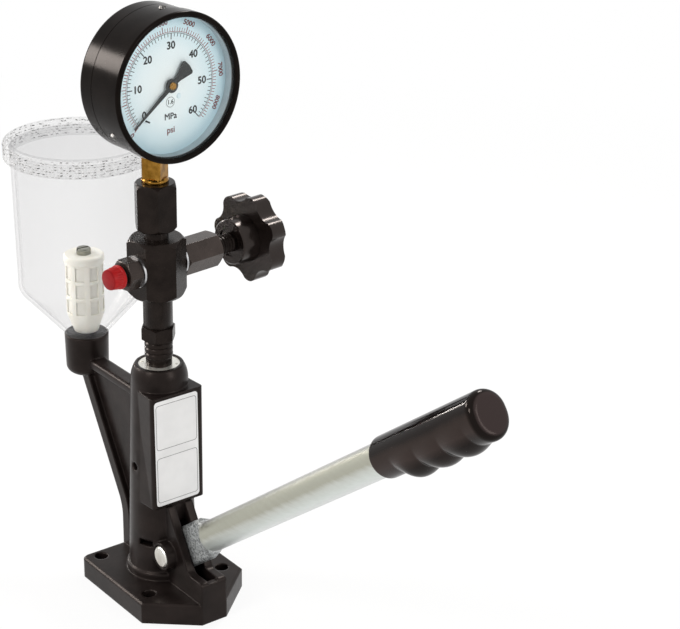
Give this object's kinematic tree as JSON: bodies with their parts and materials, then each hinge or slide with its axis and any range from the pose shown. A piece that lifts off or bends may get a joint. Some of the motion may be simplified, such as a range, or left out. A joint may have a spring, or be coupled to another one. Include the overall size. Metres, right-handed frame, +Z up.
{
  "type": "diesel injector tester",
  "caption": "Hand-lever pump on a cast stand that tests diesel injectors, with a clear fuel tank on an arm, a round pressure gauge, a shut-off valve and a capped outlet.",
  "frame": {"origin": "column axis at the underside of the base plate", "axes": "+X from the column along the lever, +Z up the column, +Y completing a right-handed frame towards the valve knob"},
  "size_m": [0.5063, 0.153, 0.4368],
  "materials": {
    "cast_black": "satin",
    "black_steel": "semi-gloss",
    "zinc": "satin",
    "steel": "satin",
    "spring_steel": "satin",
    "brass": "satin",
    "copper": "satin",
    "grip_black": "gloss",
    "knob_black": "gloss",
    "cap_red": "gloss",
    "gauge_black": "semi-gloss",
    "dial_white": "matt",
    "pointer_black": "matt",
    "lens_clear": "clear",
    "tank_clear": "clear",
    "filter_ivory": "matt",
    "seal_black": "matt"
  },
  "bodies": {
    "stand": {"pump_body": "cast_black", "barrel_screw": "black_steel", "pivot_pin": "zinc", "pin_circlip": "spring_steel", "plunger_spring": "spring_steel", "pump_barrel": "steel", "barrel_seal": "copper", "delivery_seat": "steel", "delivery_spring": "spring_steel", "delivery_union": "black_steel", "ring_nut": "zinc", "lock_nut": "black_steel", "cross_block": "black_steel", "outlet_washer": "steel", "outlet_adaptor": "black_steel", "bonnet_washer": "steel", "valve_bonnet": "black_steel", "gland_packing": "seal_black", "gland_ring": "black_steel", "gauge_adaptor": "black_steel", "gauge_seal": "copper", "gauge_socket": "brass", "gauge_case": "gauge_black", "case_screws": "zinc", "gauge_bezel": "gauge_black", "gauge_lens": "lens_clear", "lens_gasket": "seal_black", "dial_ring": "dial_white", "gauge_dial": "dial_white", "dial_screws": "dial_white", "zero_pin": "pointer_black", "movement_frame": "brass", "bourdon_tube": "brass", "fuel_tank": "tank_clear", "tank_gasket": "seal_black", "tank_bolt": "zinc", "filter_cage": "filter_ivory", "filter_mesh": "filter_ivory"},
    "lever": {"lever_tube": "zinc", "lever_grip": "grip_black"},
    "plunger": {"tappet": "steel", "plunger": "steel", "spring_plate": "steel"},
    "delivery_valve": {"delivery_valve": "steel"},
    "needle": {"valve_needle": "steel"},
    "knob": {"valve_spindle": "black_steel", "star_knob": "knob_black", "knob_insert": "brass"},
    "pointer": {"gauge_pointer": "pointer_black", "pointer_hub": "brass", "pinion_arbor": "steel"},
    "sector": {"sector_gear": "brass"},
    "link": {"tip_link": "brass"},
    "cap": {"dust_cap": "cap_red"},
    "lid": {"tank_lid": "tank_clear"}
  },
  "joints": [
    {"name": "lever_swing", "type": "hinge", "parent": "stand", "child": "lever", "pos_m": [0.025, 0, 0.039], "axis": [0, 1, 0], "range_deg": [0, 24], "stiffness_Nm_per_rad": 2, "springref_deg": -40.11},
    {"name": "plunger_stroke", "type": "slide", "parent": "stand", "child": "plunger", "axis": [0, 0, 1], "range_m": [0, 0.0102], "deforming": ["plunger_spring"]},
    {"name": "delivery_lift", "type": "slide", "parent": "stand", "child": "delivery_valve", "axis": [0, 0, 1], "range_m": [0, 0.0015], "stiffness_N_per_m": 50, "springref_m": -0.002, "deforming": ["delivery_spring"]},
    {"name": "needle_travel", "type": "slide", "parent": "stand", "child": "needle", "axis": [-0.1201, 0.9928, 0], "range_m": [0, 0.00225]},
    {"name": "knob_turn", "type": "hinge", "parent": "needle", "child": "knob", "pos_m": [-0.00961, 0.07942, 0.2525], "axis": [-0.1201, 0.9928, 0], "range_deg": [0, 540.5]},
    {"name": "pointer_turn", "type": "hinge", "parent": "stand", "child": "pointer", "pos_m": [0.01995, 0.00146, 0.385], "axis": [-0.9973, -0.0732, 0], "range_deg": [0, 270], "stiffness_Nm_per_rad": 0.002, "springref_deg": -11.46},
    {"name": "sector_turn", "type": "hinge", "parent": "stand", "child": "sector", "pos_m": [0.00671, -0.0095, 0.36483], "axis": [-0.9973, -0.0732, 0], "range_deg": [-33.76, 0]},
    {"name": "link_turn", "type": "hinge", "parent": "sector", "child": "link", "pos_m": [0.00708, -0.00079, 0.36983], "axis": [-0.9973, -0.0732, 0], "range_deg": [0, 33.76]},
    {"name": "cap_pull", "type": "slide", "parent": "stand", "child": "cap", "axis": [0.1201, -0.9928, 0], "range_m": [0, 0.025]},
    {"name": "lid_lift", "type": "slide", "parent": "stand", "child": "lid", "axis": [0, 0, 1], "range_m": [0, 0.06]}
  ],
  "couplings": [
    {"joint": "plunger_stroke", "follows": "lever_swing", "m_per_rad": 0.024105},
    {"joint": "knob_turn", "follows": "needle_travel", "rad_per_m": 4188.8},
    {"joint": "sector_turn", "follows": "pointer_turn", "ratio": -0.125},
    {"joint": "link_turn", "follows": "pointer_turn", "ratio": 0.125}
  ]
}
